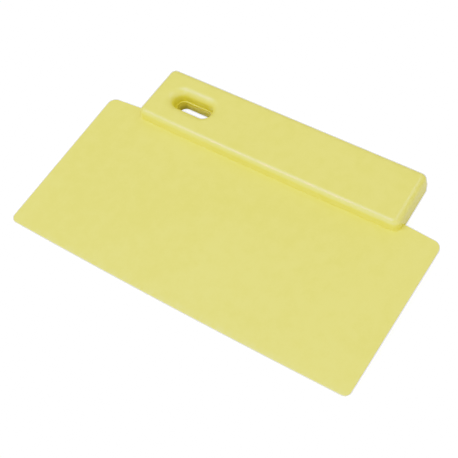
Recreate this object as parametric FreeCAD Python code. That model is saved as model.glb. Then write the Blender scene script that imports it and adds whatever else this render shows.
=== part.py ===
"""Hand scraper: a wide, thin plastic blade with a thick rounded grip bar along its rear edge.

Two pieces in one frame, in millimetres. X runs along the scraping edge, Y from the scraping
edge towards the grip, and Z square to the blade. The origin lies under the middle of the whole
tool, in the plane of the grip's underside.
"""

import math
import os

import FreeCAD
import Part

Vector = FreeCAD.Vector

# Blade
BLADE_WIDTH = 206.0             # along X, side to side
BLADE_SIDE = 92.3               # along Y, front corner to rear corner
BLADE_THICKNESS = 1.1           # along Z
FRONT_CROWN = 1.0               # bulge of the scraping edge past its corners
SHOULDER_SLOPE = 4.4            # degrees, the rear edge climbs towards the middle
FRONT_CORNER_RADIUS = 3.4
REAR_CORNER_RADIUS = 4.7
BLADE_EDGE_LAND = 0.4           # flat left between the softened upper and lower edges

# Grip bar
SHOULDER_LENGTH = 22.05         # blade's side to the grip's end, at each side
GRIP_OVERLAP = 4.7              # the blade's rear corners lie this far behind the grip's front
GRIP_DEPTH = 35.1               # along Y
GRIP_ABOVE = 7.2                # along Z, the blade's middle plane to the grip's top face
GRIP_BELOW = 6.5                # along Z, the blade's middle plane to the grip's underside
GRIP_CROWN = 0.6                # bulge of the front face
GRIP_END_TAPER = 1.6            # degrees, each end leans in towards the rear
GRIP_DRAFT = 3.0                # degrees, each wall leans in from the middle plane
GRIP_TOP_RADIUS = 3.3           # long rounded edges round the top face
GRIP_BOTTOM_RADIUS = 2.6        # long rounded edges round the underside
GRIP_CORNER_ROOM = 0.5          # upright corners are rounder than the top edges by this much

# Hang slot through the grip bar
SLOT_LENGTH = 23.6              # along X, upper half at the parting ledge
SLOT_WIDTH = 8.8                # along Y, upper half at the parting ledge
SLOT_FROM_END = 26.0            # middle of the slot to the grip's left end
SLOT_OFFSET = 0.15              # middle of the slot behind the grip's own middle
SLOT_DRAFT = 5.5                # degrees, the upper walls open towards the top
SLOT_LEDGE = 0.8                # the lower half is this much narrower all round
SLOT_TOP_RIM = 4.6              # rounding of the upper rim
SLOT_BOTTOM_RIM = 0.5           # rounding of the lower rim

# Tongue of the blade, hidden inside the grip
TONGUE_TO_SLOT = 5.3            # grip material between the tongue and the hang slot
BEAD_STEP = 1.0                 # the bead stands this far above and below the tongue
BEAD_DEPTH = 2.6                # along Y
BEAD_FROM_END = 25.0            # bead's end to the grip's end

# Working allowances
OVERSHOOT = 1.0                 # how far a cutter runs past the face that it cuts
SAME_LEVEL = 0.0001             # two heights closer than this count as one

# Derived sizes
BLADE_EDGE_ROUND = (BLADE_THICKNESS - BLADE_EDGE_LAND) / 2
GRIP_LENGTH = BLADE_WIDTH - 2 * SHOULDER_LENGTH
GRIP_THICKNESS = GRIP_BELOW + GRIP_ABOVE
GRIP_CORNER_RADIUS = GRIP_TOP_RADIUS + GRIP_CORNER_ROOM
GRIP_FROM_FRONT = BLADE_SIDE - GRIP_OVERLAP
OVERALL_DEPTH = FRONT_CROWN + GRIP_FROM_FRONT + GRIP_DEPTH
SLOT_FROM_FACE = GRIP_DEPTH / 2 + SLOT_OFFSET
TONGUE_DEPTH = SLOT_FROM_FACE - SLOT_WIDTH / 2 - TONGUE_TO_SLOT
BEAD_LENGTH = GRIP_LENGTH - 2 * BEAD_FROM_END
BEAD_THICKNESS = BLADE_THICKNESS + 2 * BEAD_STEP

# Derived places
FRONT_CHORD_Y = FRONT_CROWN - OVERALL_DEPTH / 2
REAR_CORNER_Y = FRONT_CHORD_Y + BLADE_SIDE
GRIP_FRONT_Y = FRONT_CHORD_Y + GRIP_FROM_FRONT
GRIP_REAR_Y = GRIP_FRONT_Y + GRIP_DEPTH
TONGUE_REAR_Y = GRIP_FRONT_Y + TONGUE_DEPTH
MIDDLE_Z = GRIP_BELOW
SLOT_X = SLOT_FROM_END - GRIP_LENGTH / 2
SLOT_Y = GRIP_FRONT_Y + SLOT_FROM_FACE


def line(start, end):
    return Part.LineSegment(start, end).toShape()


def arc(start, middle, end):
    return Part.Arc(start, middle, end).toShape()


def climbing_edges(solid):
    """Edges that run from one level up to another."""
    return [edge for edge in solid.Edges if edge.BoundBox.ZLength > edge.Length / 2]


def level_edges(solid, z):
    """Edges that lie wholly at height z."""
    found = []
    for edge in solid.Edges:
        box = edge.BoundBox
        if abs(box.ZMin - z) < SAME_LEVEL and abs(box.ZMax - z) < SAME_LEVEL:
            found.append(edge)
    return found


def blade_plate():
    """The blade and its tongue as one even plate, corners rounded and edges softened."""
    half = BLADE_WIDTH / 2
    low_z = MIDDLE_Z - BLADE_THICKNESS / 2
    high_z = MIDDLE_Z + BLADE_THICKNESS / 2
    run = (TONGUE_REAR_Y - REAR_CORNER_Y) / math.tan(math.radians(SHOULDER_SLOPE))
    crest = half - run
    front_left = Vector(-half, FRONT_CHORD_Y, low_z)
    front_middle = Vector(0, FRONT_CHORD_Y - FRONT_CROWN, low_z)
    front_right = Vector(half, FRONT_CHORD_Y, low_z)
    rear_right = Vector(half, REAR_CORNER_Y, low_z)
    crest_right = Vector(crest, TONGUE_REAR_Y, low_z)
    crest_left = Vector(-crest, TONGUE_REAR_Y, low_z)
    rear_left = Vector(-half, REAR_CORNER_Y, low_z)
    outline = Part.Wire([
        arc(front_left, front_middle, front_right),
        line(front_right, rear_right),
        line(rear_right, crest_right),
        line(crest_right, crest_left),
        line(crest_left, rear_left),
        line(rear_left, front_left),
    ])
    plate = Part.Face(outline).extrude(Vector(0, 0, BLADE_THICKNESS))
    front = [edge for edge in climbing_edges(plate) if edge.CenterOfMass.y < 0]
    plate = plate.makeFillet(FRONT_CORNER_RADIUS, front)
    behind = [edge for edge in climbing_edges(plate) if edge.CenterOfMass.y > 0]
    rear = [edge for edge in behind if abs(edge.CenterOfMass.x) > crest + OVERSHOOT]
    plate = plate.makeFillet(REAR_CORNER_RADIUS, rear)
    return plate.makeFillet(BLADE_EDGE_ROUND, level_edges(plate, low_z) + level_edges(plate, high_z))


def tongue_bead():
    """A thicker strip along the tongue's rear edge."""
    corner = Vector(-BEAD_LENGTH / 2, TONGUE_REAR_Y - BEAD_DEPTH, MIDDLE_Z - BEAD_THICKNESS / 2)
    return Part.makeBox(BEAD_LENGTH, BEAD_DEPTH, BEAD_THICKNESS, corner)


def make_blade():
    return blade_plate().fuse(tongue_bead()).removeSplitter().Solids[0]


def grip_outline(inset, z):
    """The grip's outline at height z, each side moved in by inset."""
    lean = math.tan(math.radians(GRIP_END_TAPER))
    front_y = GRIP_FRONT_Y + inset
    rear_y = GRIP_REAR_Y - inset
    front_half = GRIP_LENGTH / 2 - inset - lean * inset
    rear_half = front_half - lean * (rear_y - front_y)
    front_left = Vector(-front_half, front_y, z)
    front_middle = Vector(0, front_y - GRIP_CROWN, z)
    front_right = Vector(front_half, front_y, z)
    rear_right = Vector(rear_half, rear_y, z)
    rear_left = Vector(-rear_half, rear_y, z)
    return Part.Wire([
        arc(front_left, front_middle, front_right),
        line(front_right, rear_right),
        line(rear_right, rear_left),
        line(rear_left, front_left),
    ])


def grip_bar():
    """A bar that leans in above and below its middle plane, with rounded corners and edges."""
    slope = math.tan(math.radians(GRIP_DRAFT))
    middle = grip_outline(0, MIDDLE_Z)
    upper = Part.makeLoft([middle, grip_outline(slope * GRIP_ABOVE, GRIP_THICKNESS)], True, True)
    lower = Part.makeLoft([grip_outline(slope * GRIP_BELOW, 0), middle], True, True)
    bar = upper.fuse(lower).removeSplitter()
    bar = bar.makeFillet(GRIP_CORNER_RADIUS, climbing_edges(bar))
    bar = bar.makeFillet(GRIP_TOP_RADIUS, level_edges(bar, GRIP_THICKNESS))
    return bar.makeFillet(GRIP_BOTTOM_RADIUS, level_edges(bar, 0))


def slot_outline(length, width, z):
    """An obround of the given overall length and width, at the slot's place."""
    radius = width / 2
    reach = (length - width) / 2
    left, right = SLOT_X - reach, SLOT_X + reach
    near, far = SLOT_Y - radius, SLOT_Y + radius
    return Part.Wire([
        line(Vector(left, near, z), Vector(right, near, z)),
        arc(Vector(right, near, z), Vector(right + radius, SLOT_Y, z), Vector(right, far, z)),
        line(Vector(right, far, z), Vector(left, far, z)),
        arc(Vector(left, far, z), Vector(left - radius, SLOT_Y, z), Vector(left, near, z)),
    ])


def slot_cutter():
    """The slot's space: an upper half that opens upwards and a narrower, straight lower half."""
    rise = GRIP_ABOVE + OVERSHOOT
    spread = 2 * rise * math.tan(math.radians(SLOT_DRAFT))
    upper = Part.makeLoft([
        slot_outline(SLOT_LENGTH, SLOT_WIDTH, MIDDLE_Z),
        slot_outline(SLOT_LENGTH + spread, SLOT_WIDTH + spread, MIDDLE_Z + rise),
    ], True, True)
    narrow = slot_outline(SLOT_LENGTH - 2 * SLOT_LEDGE, SLOT_WIDTH - 2 * SLOT_LEDGE, -OVERSHOOT)
    lower = Part.Face(narrow).extrude(Vector(0, 0, MIDDLE_Z + 2 * OVERSHOOT))
    return upper.fuse(lower)


def slot_rim(bar, z):
    """The slot's own edges at height z, told from the grip's outline by where they lie."""
    reach = (SLOT_LENGTH + SLOT_WIDTH) / 2
    rim = []
    for edge in level_edges(bar, z):
        if abs(edge.BoundBox.XMin - SLOT_X) < reach and abs(edge.BoundBox.XMax - SLOT_X) < reach:
            rim.append(edge)
    return rim


def make_grip(blade):
    """The grip bar with its hang slot, moulded round the blade's tongue face to face."""
    bar = grip_bar().cut(slot_cutter())
    bar = bar.makeFillet(SLOT_TOP_RIM, slot_rim(bar, GRIP_THICKNESS))
    bar = bar.makeFillet(SLOT_BOTTOM_RIM, slot_rim(bar, 0))
    return bar.cut(blade).Solids[0]


def main():
    os.makedirs("parts", exist_ok=True)
    blade = make_blade()
    blade.exportStep("parts/blade.step")
    make_grip(blade).exportStep("parts/grip.step")


main()
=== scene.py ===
"""Hand scraper on a pale studio floor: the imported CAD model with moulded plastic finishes."""

import math

import bpy
from mathutils import Matrix, Vector


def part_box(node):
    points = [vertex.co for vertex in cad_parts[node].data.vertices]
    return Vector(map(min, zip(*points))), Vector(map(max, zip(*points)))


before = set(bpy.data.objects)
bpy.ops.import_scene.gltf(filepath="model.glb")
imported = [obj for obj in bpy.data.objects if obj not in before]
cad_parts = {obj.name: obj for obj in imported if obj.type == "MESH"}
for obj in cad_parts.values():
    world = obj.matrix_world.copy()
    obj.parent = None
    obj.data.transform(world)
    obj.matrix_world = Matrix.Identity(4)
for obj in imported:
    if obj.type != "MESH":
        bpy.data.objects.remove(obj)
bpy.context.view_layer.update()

MM = 0.001
WHITE = (1.0, 1.0, 1.0, 1.0)

# Places on the object, the blade's and grip's ends from the frame and the others from the part
BLADE_LOW, BLADE_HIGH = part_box("blade")
GRIP_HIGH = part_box("grip")[1]
GRIP_FRONT_Y = 26.75 * MM       # at the grip's ends
GRIP_CROWN = 0.6 * MM           # the grip's front bulges by this much in the middle
GRIP_HALF_LENGTH = 80.95 * MM
SLOT_PLACE = Vector((-54.95, 44.45, 6.50)) * MM     # middle of the hang slot, at its ledge
SLOT_HALF_RUN = 7.4 * MM        # middle of the slot to the middle of either round end

# Plastic
PLASTIC = (0.760, 0.659, 0.141, 1.0)
PLASTIC_DEEP = (0.712, 0.624, 0.123, 1.0)
# pale worn plastic, also used for the painted highlight by the blade's edges
PLASTIC_PALE_WEAR_AND_HIGHLIGHT = (0.757, 0.677, 0.208, 1.0)
# painted shade down inside the hang slot
PLASTIC_PAINTED_SLOT_SHADE = (0.480, 0.430, 0.110, 1.0)
# painted light along the crease between blade and grip
PLASTIC_PAINTED_CREASE_LIGHT = (0.812, 0.702, 0.152, 1.0)
PLASTIC_IOR = 1.62

# Tone: how many noise cells fit in a metre, and each noise's share
PATCH_SCALE, PATCH_SHARE = 18.0, 0.35
MOTTLE_SCALE, MOTTLE_SHARE = 150.0, 0.40
GRAIN_SCALE, GRAIN_SHARE = 950.0, 0.25
TONE_RANGE = (0.38, 0.62)       # the mixed noise that gives the deeper and the plain colour

# Skin
SATIN_SCALE = 60.0
SATIN_NOISE = (0.3, 0.7)        # noise that gives the lowest and highest roughness
SATIN_ROUGHNESS = (0.31, 0.37)
WORN_ROUGHNESS = 0.14           # added where the plastic is worn
WAVE_SCALE, WAVE_HEIGHT = 22.0, 0.08 * MM
SKIN_SCALE, SKIN_HEIGHT = 1300.0, 0.006 * MM

# Wear; by the blade's scraping edge and sides the paler colour is part wear and part painted
# highlight
SPECKLE_SCALE = 420.0
SPECKLE_STRETCH = (1.0, 0.45, 1.0)
SPECKLE_RANGE = (0.38, 0.66)
FRONT_WEAR_AND_HIGHLIGHT = 4.5 * MM           # reach from the scraping edge
SIDE_WEAR_AND_HIGHLIGHT = 2.0 * MM            # reach from the blade's sides
SIDE_WEAR_AND_HIGHLIGHT_SHARE = 0.5
BLADE_PALENESS_AND_HIGHLIGHT = 0.5
END_WEAR = 6.0 * MM             # reach from the grip's ends
REAR_WEAR = 3.0 * MM            # reach from the grip's rear
GRIP_WEAR_SHARE = 0.6
GRIP_PALENESS = 0.4

# Painted light line along the crease between blade and grip, lifting the shade there
CREASE_REACH = 2.6 * MM
CREASE_FADE = (0.94, 1.0)       # square of the share of the grip's half length

# Painted shade: darker, more saturated colour down inside the hang slot
SLOT_WALL = (5.2 * MM, 6.6 * MM)        # from the slot's middle line: all inside, all outside
LEDGE_STEP = 0.15 * MM          # below the ledge the upper walls' shade ends within this
UPPER_TOP = 12.5 * MM           # the upper walls are plain from here up
UPPER_SHARE = 0.24              # how much painted shade they get at the ledge
UPPER_LEFT_FADE = (-11.0 * MM, -6.5 * MM)       # from the slot's middle, along X: the left wall, lit more, gets less painted shade
LOWER_DEPTHS = (1.6 * MM, 5.0 * MM)             # height: full painted shade, none
UNDERSIDE_FADE = 0.25 * MM      # no painted shade at the underside itself

# Camera
CAMERA_PLACE = Vector((0.21851, -0.21343, 0.45159))
CAMERA_AIM = Vector((0.00474, -0.01077, 0.00705))
CAMERA_ROLL = math.radians(-15.5956)
CAMERA_LENS = 82.340            # mm
CAMERA_SENSOR = 36.0            # mm
CAMERA_NEAR = 0.01

# Light
WORLD_STRENGTH = 0.28
WORLD_SEEN_STRENGTH = 1.1       # the camera sees white past the floor's far edge
SOFTBOX_DISTANCE = 1.4
# azimuth from the front turning to the right, elevation, both in degrees, side and radiance
SOFTBOXES = (
    (300, 70, 0.70, 3.20),
    (322, 54, 0.70, 2.75),
    (300, 54, 0.45, 0.44),
    (160, 60, 0.45, 2.38),
    (90, 52, 0.90, 0.60),
    (135, 52, 0.90, 0.63),
    (225, 52, 0.90, 0.17),
    (270, 52, 0.90, 0.30),
    (0, 18, 0.90, 1.79),
    (45, 18, 0.90, 1.19),
    (90, 18, 0.90, 0.82),
    (180, 18, 0.90, 0.35),
    (225, 18, 0.90, 0.12),
    (315, 18, 0.90, 0.30),
)

# Floor
FLOOR_REACH = 6.0
FLOOR_LEVEL = -0.1 * MM         # just under the grip's flat underside
FLOOR_ALBEDO = 0.80
FLOOR_SEEN_ALBEDO = 0.10        # the camera sees mostly the floor's even white
FLOOR_SEEN_GLOW = 1.00
FLOOR_ROUGHNESS = 0.9

# Film response: scene brightness to shown brightness, both linear, between black and FILM_WHITE
FILM_WHITE = 1.05
FILM_POINTS = (
    (0.05, 0.023),
    (0.12, 0.144),
    (0.22, 0.287),
    (0.36, 0.460),
    (0.55, 0.632),
    (0.75, 0.750),
    (0.95, 0.822),
)
FILM_SHARED_CURVE = 3           # red, green and blue have the first three


class Nodes:
    """A small helper that adds nodes to one material and wires them up."""

    MIX_FACTOR, MIX_ONE, MIX_OTHER, MIX_RESULT = 0, 6, 7, 2     # the colour sockets of a Mix node

    def __init__(self, name):
        self.material = bpy.data.materials.new(name)
        self.material.use_nodes = True
        self.tree = self.material.node_tree
        self.shader = self.tree.nodes["Principled BSDF"]

    def put(self, value, socket):
        """Sets a socket to a number or colour, or links another node's output to it."""
        if isinstance(value, bpy.types.NodeSocket):
            self.tree.links.new(value, socket)
        else:
            socket.default_value = value

    def position(self):
        return self.tree.nodes.new("ShaderNodeTexCoord").outputs["Object"]

    def math(self, operation, *values):
        node = self.tree.nodes.new("ShaderNodeMath")
        node.operation = operation
        for value, socket in zip(values, node.inputs):
            self.put(value, socket)
        return node.outputs[0]

    def stretch(self, vector, scale):
        node = self.tree.nodes.new("ShaderNodeVectorMath")
        node.operation = "MULTIPLY"
        self.put(vector, node.inputs[0])
        node.inputs[1].default_value = scale
        return node.outputs[0]

    def axes(self, vector):
        node = self.tree.nodes.new("ShaderNodeSeparateXYZ")
        self.put(vector, node.inputs[0])
        return node.outputs

    def noise(self, vector, scale, detail=2.0, roughness=0.5):
        node = self.tree.nodes.new("ShaderNodeTexNoise")
        self.put(vector, node.inputs["Vector"])
        node.inputs["Scale"].default_value = scale
        node.inputs["Detail"].default_value = detail
        node.inputs["Roughness"].default_value = roughness
        return node.outputs["Fac"]

    def ramp(self, value, low, high, out_low=0.0, out_high=1.0):
        """Maps low..high smoothly to out_low..out_high and holds the ends."""
        node = self.tree.nodes.new("ShaderNodeMapRange")
        node.interpolation_type = "SMOOTHSTEP"
        self.put(value, node.inputs["Value"])
        self.put(low, node.inputs["From Min"])
        self.put(high, node.inputs["From Max"])
        self.put(out_low, node.inputs["To Min"])
        self.put(out_high, node.inputs["To Max"])
        return node.outputs[0]

    def mix(self, factor, one, other):
        node = self.tree.nodes.new("ShaderNodeMix")
        node.data_type = "RGBA"
        self.put(factor, node.inputs[self.MIX_FACTOR])
        self.put(one, node.inputs[self.MIX_ONE])
        self.put(other, node.inputs[self.MIX_OTHER])
        return node.outputs[self.MIX_RESULT]

    def bump(self, height, distance, normal=None):
        node = self.tree.nodes.new("ShaderNodeBump")
        node.inputs["Strength"].default_value = 1.0
        node.inputs["Distance"].default_value = distance
        self.put(height, node.inputs["Height"])
        if normal is not None:
            self.put(normal, node.inputs["Normal"])
        return node.outputs[0]


def plastic_tone(n, place):
    """Slow tonal patches, mottling a few millimetres across and a fine grain, all faint."""
    patches = n.noise(place, PATCH_SCALE)
    mottling = n.noise(place, MOTTLE_SCALE)
    grain = n.noise(place, GRAIN_SCALE, detail=3.0, roughness=0.6)
    tone = n.math("MULTIPLY_ADD", patches, PATCH_SHARE, n.math("MULTIPLY", grain, GRAIN_SHARE))
    tone = n.math("MULTIPLY_ADD", mottling, MOTTLE_SHARE, tone)
    return n.mix(n.ramp(tone, *TONE_RANGE), PLASTIC_DEEP, PLASTIC)


def speckle(n, place):
    """Small uneven spots, for wear that comes and goes."""
    stretched = n.stretch(place, SPECKLE_STRETCH)
    spots = n.noise(stretched, SPECKLE_SCALE, detail=3.0, roughness=0.65)
    return n.ramp(spots, *SPECKLE_RANGE)


def near_edge(n, distance, reach):
    """One at an edge, falling to zero at the given distance from it."""
    return n.ramp(distance, 0.0, reach, 1.0, 0.0)


def moulded_skin(n, place, worn):
    """Roughness and relief of satin moulded plastic, duller where it is worn."""
    satin = n.ramp(n.noise(place, SATIN_SCALE, detail=3.0), *SATIN_NOISE, *SATIN_ROUGHNESS)
    n.put(n.math("MULTIPLY_ADD", worn, WORN_ROUGHNESS, satin), n.shader.inputs["Roughness"])
    waves = n.bump(n.noise(place, WAVE_SCALE, detail=1.0), WAVE_HEIGHT)
    skin = n.bump(n.noise(place, SKIN_SCALE), SKIN_HEIGHT, normal=waves)
    n.put(skin, n.shader.inputs["Normal"])
    n.shader.inputs["IOR"].default_value = PLASTIC_IOR


def painted_crease_light(n, x, y):
    """Painted light: one where the blade meets the grip's front, falling to zero a little way
    before it.
    """
    along = n.math("DIVIDE", x, GRIP_HALF_LENGTH)
    along = n.math("MULTIPLY", along, along)
    crease = n.math("MULTIPLY_ADD", along, GRIP_CROWN, GRIP_FRONT_Y - GRIP_CROWN)
    near = near_edge(n, n.math("SUBTRACT", crease, y), CREASE_REACH)
    return n.math("MULTIPLY", near, n.ramp(along, *CREASE_FADE, 1.0, 0.0))


def blade_plastic():
    """The blade: scuffed and paler by the scraping edge and the sides, part wear and part painted
    highlight, with painted light along the crease.
    """
    n = Nodes("blade_plastic_look")
    place = n.position()
    x, y, _ = n.axes(place)
    from_front = n.math("SUBTRACT", y, BLADE_LOW.y)
    from_side = n.math("SUBTRACT", BLADE_HIGH.x, n.math("ABSOLUTE", x))
    front = near_edge(n, from_front, FRONT_WEAR_AND_HIGHLIGHT)
    side = n.math("MULTIPLY", near_edge(n, from_side, SIDE_WEAR_AND_HIGHLIGHT), SIDE_WEAR_AND_HIGHLIGHT_SHARE)
    # wear mask, which also places the painted highlight by the blade's edges
    worn = n.math("MULTIPLY", n.math("MAXIMUM", front, side), speckle(n, place))
    # paler by the blade's edges: part wear, part painted highlight
    pale = n.math("MULTIPLY", worn, BLADE_PALENESS_AND_HIGHLIGHT)
    tone = n.mix(pale, plastic_tone(n, place), PLASTIC_PALE_WEAR_AND_HIGHLIGHT)
    # painted light along the crease
    tone = n.mix(painted_crease_light(n, x, y), tone, PLASTIC_PAINTED_CREASE_LIGHT)
    n.put(tone, n.shader.inputs["Base Color"])
    moulded_skin(n, place, worn)
    return n.material


def painted_slot_shade(n, x, y, z):
    """Painted shade: zero outside the hang slot, rising down its upper walls and again down its
    lower walls.
    """
    along = n.math("ABSOLUTE", n.math("SUBTRACT", x, SLOT_PLACE.x))
    along = n.math("MAXIMUM", n.math("SUBTRACT", along, SLOT_HALF_RUN), 0.0)
    across = n.math("SUBTRACT", y, SLOT_PLACE.y)
    square = n.math("MULTIPLY_ADD", along, along, n.math("MULTIPLY", across, across))
    inside = n.ramp(n.math("SQRT", square), *SLOT_WALL, 1.0, 0.0)
    above_ledge = n.ramp(z, SLOT_PLACE.z - LEDGE_STEP, SLOT_PLACE.z)
    upper = n.math("MULTIPLY", above_ledge, n.ramp(z, SLOT_PLACE.z, UPPER_TOP, UPPER_SHARE, 0.0))
    left, right = (SLOT_PLACE.x + step for step in UPPER_LEFT_FADE)
    upper = n.math("MULTIPLY", upper, n.ramp(x, left, right))
    lower = n.ramp(z, *LOWER_DEPTHS, 1.0, 0.0)
    lower = n.math("MULTIPLY", lower, n.ramp(z, 0.0, UNDERSIDE_FADE))
    return n.math("MULTIPLY", inside, n.math("MAXIMUM", upper, lower))


def grip_plastic():
    """The grip: rubbed at its ends and rear, with painted shade down inside the hang slot."""
    n = Nodes("grip_plastic_look")
    place = n.position()
    x, y, z = n.axes(place)
    from_end = n.math("SUBTRACT", GRIP_HIGH.x, n.math("ABSOLUTE", x))
    from_rear = n.math("SUBTRACT", GRIP_HIGH.y, y)
    end, rear = near_edge(n, from_end, END_WEAR), near_edge(n, from_rear, REAR_WEAR)
    rubbed = n.math("MULTIPLY", n.math("MAXIMUM", end, rear), speckle(n, place))
    worn = n.math("MULTIPLY", rubbed, GRIP_WEAR_SHARE)
    pale = n.math("MULTIPLY", worn, GRIP_PALENESS)
    tone = n.mix(pale, plastic_tone(n, place), PLASTIC_PALE_WEAR_AND_HIGHLIGHT)
    # painted shade down inside the hang slot
    tone = n.mix(painted_slot_shade(n, x, y, z), tone, PLASTIC_PAINTED_SLOT_SHADE)
    n.put(tone, n.shader.inputs["Base Color"])
    moulded_skin(n, place, worn)
    return n.material


def dress(node_name, material):
    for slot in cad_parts[node_name].material_slots:
        slot.material = material


def floor_look():
    """Ordinary pale floor to the light, an even white to the camera."""
    n = Nodes("studio_floor_look")
    seen = n.tree.nodes.new("ShaderNodeLightPath").outputs["Is Camera Ray"]
    shades = [(grey, grey, grey, 1.0) for grey in (FLOOR_ALBEDO, FLOOR_SEEN_ALBEDO)]
    n.put(n.mix(seen, *shades), n.shader.inputs["Base Color"])
    n.put(n.math("MULTIPLY", seen, FLOOR_SEEN_GLOW), n.shader.inputs["Emission Strength"])
    n.shader.inputs["Emission Color"].default_value = WHITE
    n.shader.inputs["Roughness"].default_value = FLOOR_ROUGHNESS
    n.shader.inputs["Specular IOR Level"].default_value = 0.0
    return n.material


def add_floor():
    mesh = bpy.data.meshes.new("studio_floor")
    turns = ((-1, -1), (1, -1), (1, 1), (-1, 1))
    corners = [(x * FLOOR_REACH, y * FLOOR_REACH, FLOOR_LEVEL) for x, y in turns]
    mesh.from_pydata(corners, [], [(0, 1, 2, 3)])
    mesh.materials.append(floor_look())
    floor = bpy.data.objects.new("studio_floor", mesh)
    bpy.context.scene.collection.objects.link(floor)


def add_world():
    """An even grey surround to the light, white to the camera."""
    world = bpy.data.worlds.new("studio")
    world.use_nodes = True
    nodes, links = world.node_tree.nodes, world.node_tree.links
    background = nodes["Background"]
    background.inputs["Color"].default_value = WHITE
    seen = nodes.new("ShaderNodeLightPath").outputs["Is Camera Ray"]
    strength = nodes.new("ShaderNodeMapRange")
    strength.inputs["To Min"].default_value = WORLD_STRENGTH
    strength.inputs["To Max"].default_value = WORLD_SEEN_STRENGTH
    links.new(seen, strength.inputs["Value"])
    links.new(strength.outputs[0], background.inputs["Strength"])
    bpy.context.scene.world = world


def add_softbox(azimuth, elevation, side, radiance):
    name = "softbox_%d_%d" % (azimuth, elevation)
    light = bpy.data.lights.new(name, "AREA")
    light.size = side
    light.energy = math.pi * side ** 2 * radiance
    turn, climb = math.radians(azimuth), math.radians(elevation)
    level = math.cos(climb)
    aim = Vector((level * math.sin(turn), -level * math.cos(turn), math.sin(climb)))
    lamp = bpy.data.objects.new(name, light)
    lamp.location = aim * SOFTBOX_DISTANCE
    lamp.rotation_euler = aim.to_track_quat("Z", "Y").to_euler()
    bpy.context.scene.collection.objects.link(lamp)


def add_camera():
    data = bpy.data.cameras.new("photo_view")
    data.sensor_width = CAMERA_SENSOR
    data.lens = CAMERA_LENS
    data.clip_start = CAMERA_NEAR
    camera = bpy.data.objects.new("photo_view", data)
    look = (CAMERA_AIM - CAMERA_PLACE).to_track_quat("-Z", "Y").to_matrix()
    roll = Matrix.Rotation(CAMERA_ROLL, 3, "Z")
    camera.matrix_world = Matrix.Translation(CAMERA_PLACE) @ (look @ roll).to_4x4()
    bpy.context.scene.collection.objects.link(camera)
    bpy.context.scene.camera = camera


def set_film():
    """A film-like tone curve that softens the brightest tones."""
    view = bpy.context.scene.view_settings
    view.view_transform = "Standard"
    view.use_curve_mapping = True
    film = view.curve_mapping
    film.white_level = (FILM_WHITE, FILM_WHITE, FILM_WHITE)
    film.extend = "HORIZONTAL"
    shared = film.curves[FILM_SHARED_CURVE]
    for brightness, shown in FILM_POINTS:
        shared.points.new(brightness / FILM_WHITE, shown)
    film.update()


dress("blade", blade_plastic())
dress("grip", grip_plastic())
add_floor()
add_world()
for softbox in SOFTBOXES:
    add_softbox(*softbox)
add_camera()
set_film()
